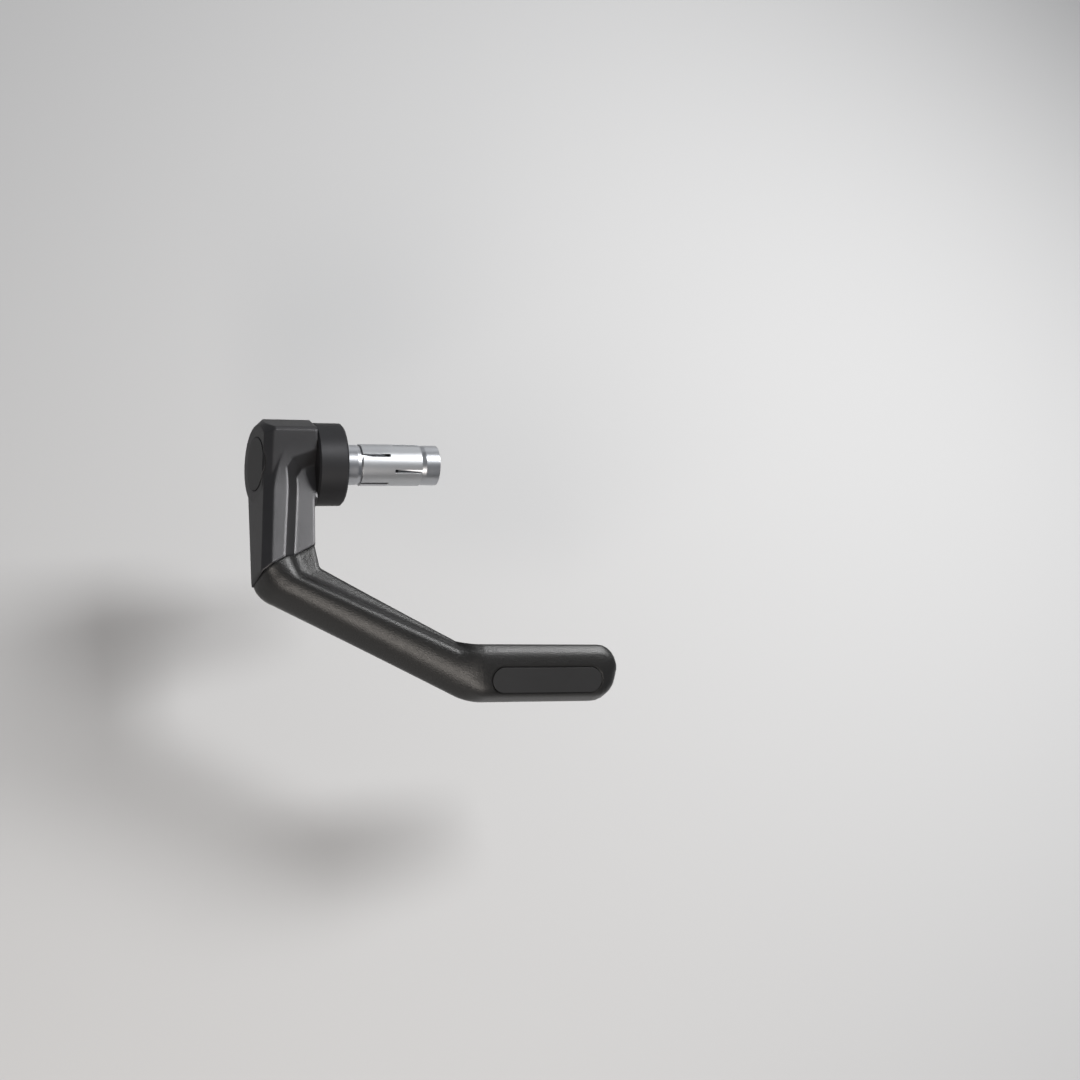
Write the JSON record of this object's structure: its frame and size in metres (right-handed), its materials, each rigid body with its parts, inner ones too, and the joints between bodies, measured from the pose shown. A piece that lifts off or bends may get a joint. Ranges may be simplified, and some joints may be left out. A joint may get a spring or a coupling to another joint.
{
  "type": "motorcycle brake lever guard",
  "caption": "Brake lever guard: a cast arm clamped in the end of a handlebar carries a moulded, angled bow that shields the lever's tip.",
  "frame": {"origin": "on the handlebar's axis, where the spacer meets the end of the bar", "axes": "+X inboard along the bar, +Z out of the guard's face (up), -Y forward of the bar"},
  "size_m": [0.1483, 0.1274, 0.0372],
  "materials": {
    "cast_black": "bead-blasted, black anodised",
    "moulded_black": "fine moulded grain, soft sheen",
    "badge_black": "matt, plain",
    "cap_black": "smooth satin",
    "anodised_black": "turned, black anodised",
    "black_steel": "black oxide",
    "steel": "zinc plated",
    "aluminium": "turned, bare",
    "brass": "knurled",
    "rubber": "smooth"
  },
  "bodies": {
    "root": {"guard_bracket": "cast_black", "guard_bow": "moulded_black", "bow_inserts": "brass", "bow_screws": "black_steel", "badge": "badge_black", "end_cap": "cap_black", "cap_ring": "rubber", "mount_washer": "steel", "mount_screw": "black_steel", "spacer_ring": "anodised_black", "cone_front": "steel", "cone_nut": "steel", "collet": "aluminium"}
  },
  "joints": []
}
